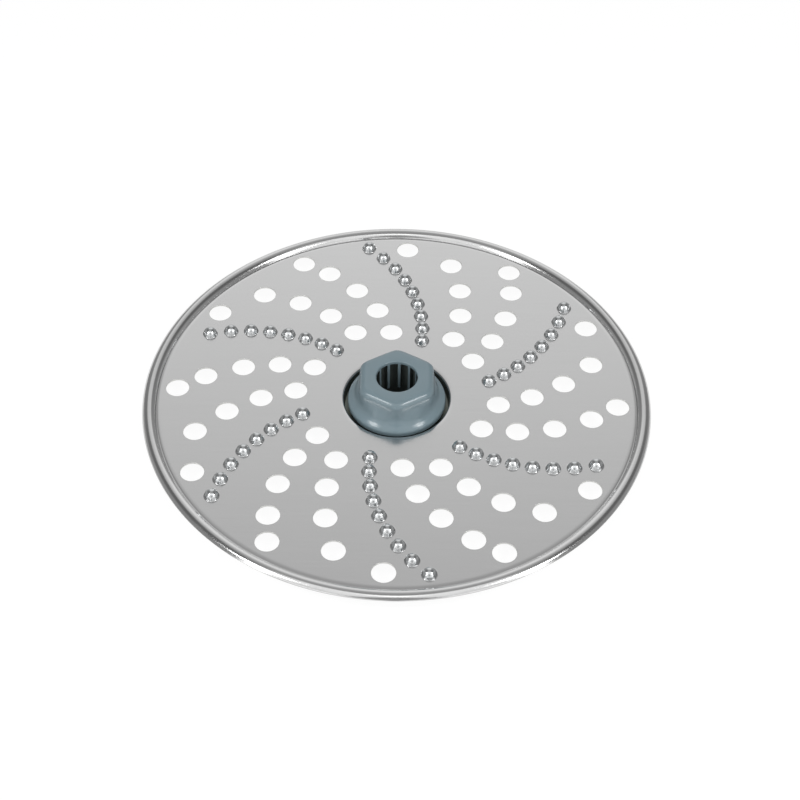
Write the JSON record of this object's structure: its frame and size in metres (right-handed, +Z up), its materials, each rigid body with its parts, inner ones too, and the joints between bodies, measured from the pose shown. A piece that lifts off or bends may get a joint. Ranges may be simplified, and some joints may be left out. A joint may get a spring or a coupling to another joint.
{
  "type": "food processor disc",
  "caption": "Round pressed steel grating disc with curved rows of holes and raised nubs, a rolled rim and a grey splined plastic hub.",
  "frame": {"origin": "on the drive bore's axis at the foot of the hub, where the disc rests", "axes": "+Z up along the bore axis, out of the grating side; +Y through a corner of the six-sided boss"},
  "size_m": [0.1793, 0.1794, 0.0174],
  "materials": {
    "steel": "satin",
    "hub_plastic": "satin"
  },
  "bodies": {
    "root": {"grating_disc": "steel", "hub": "hub_plastic"}
  },
  "joints": []
}
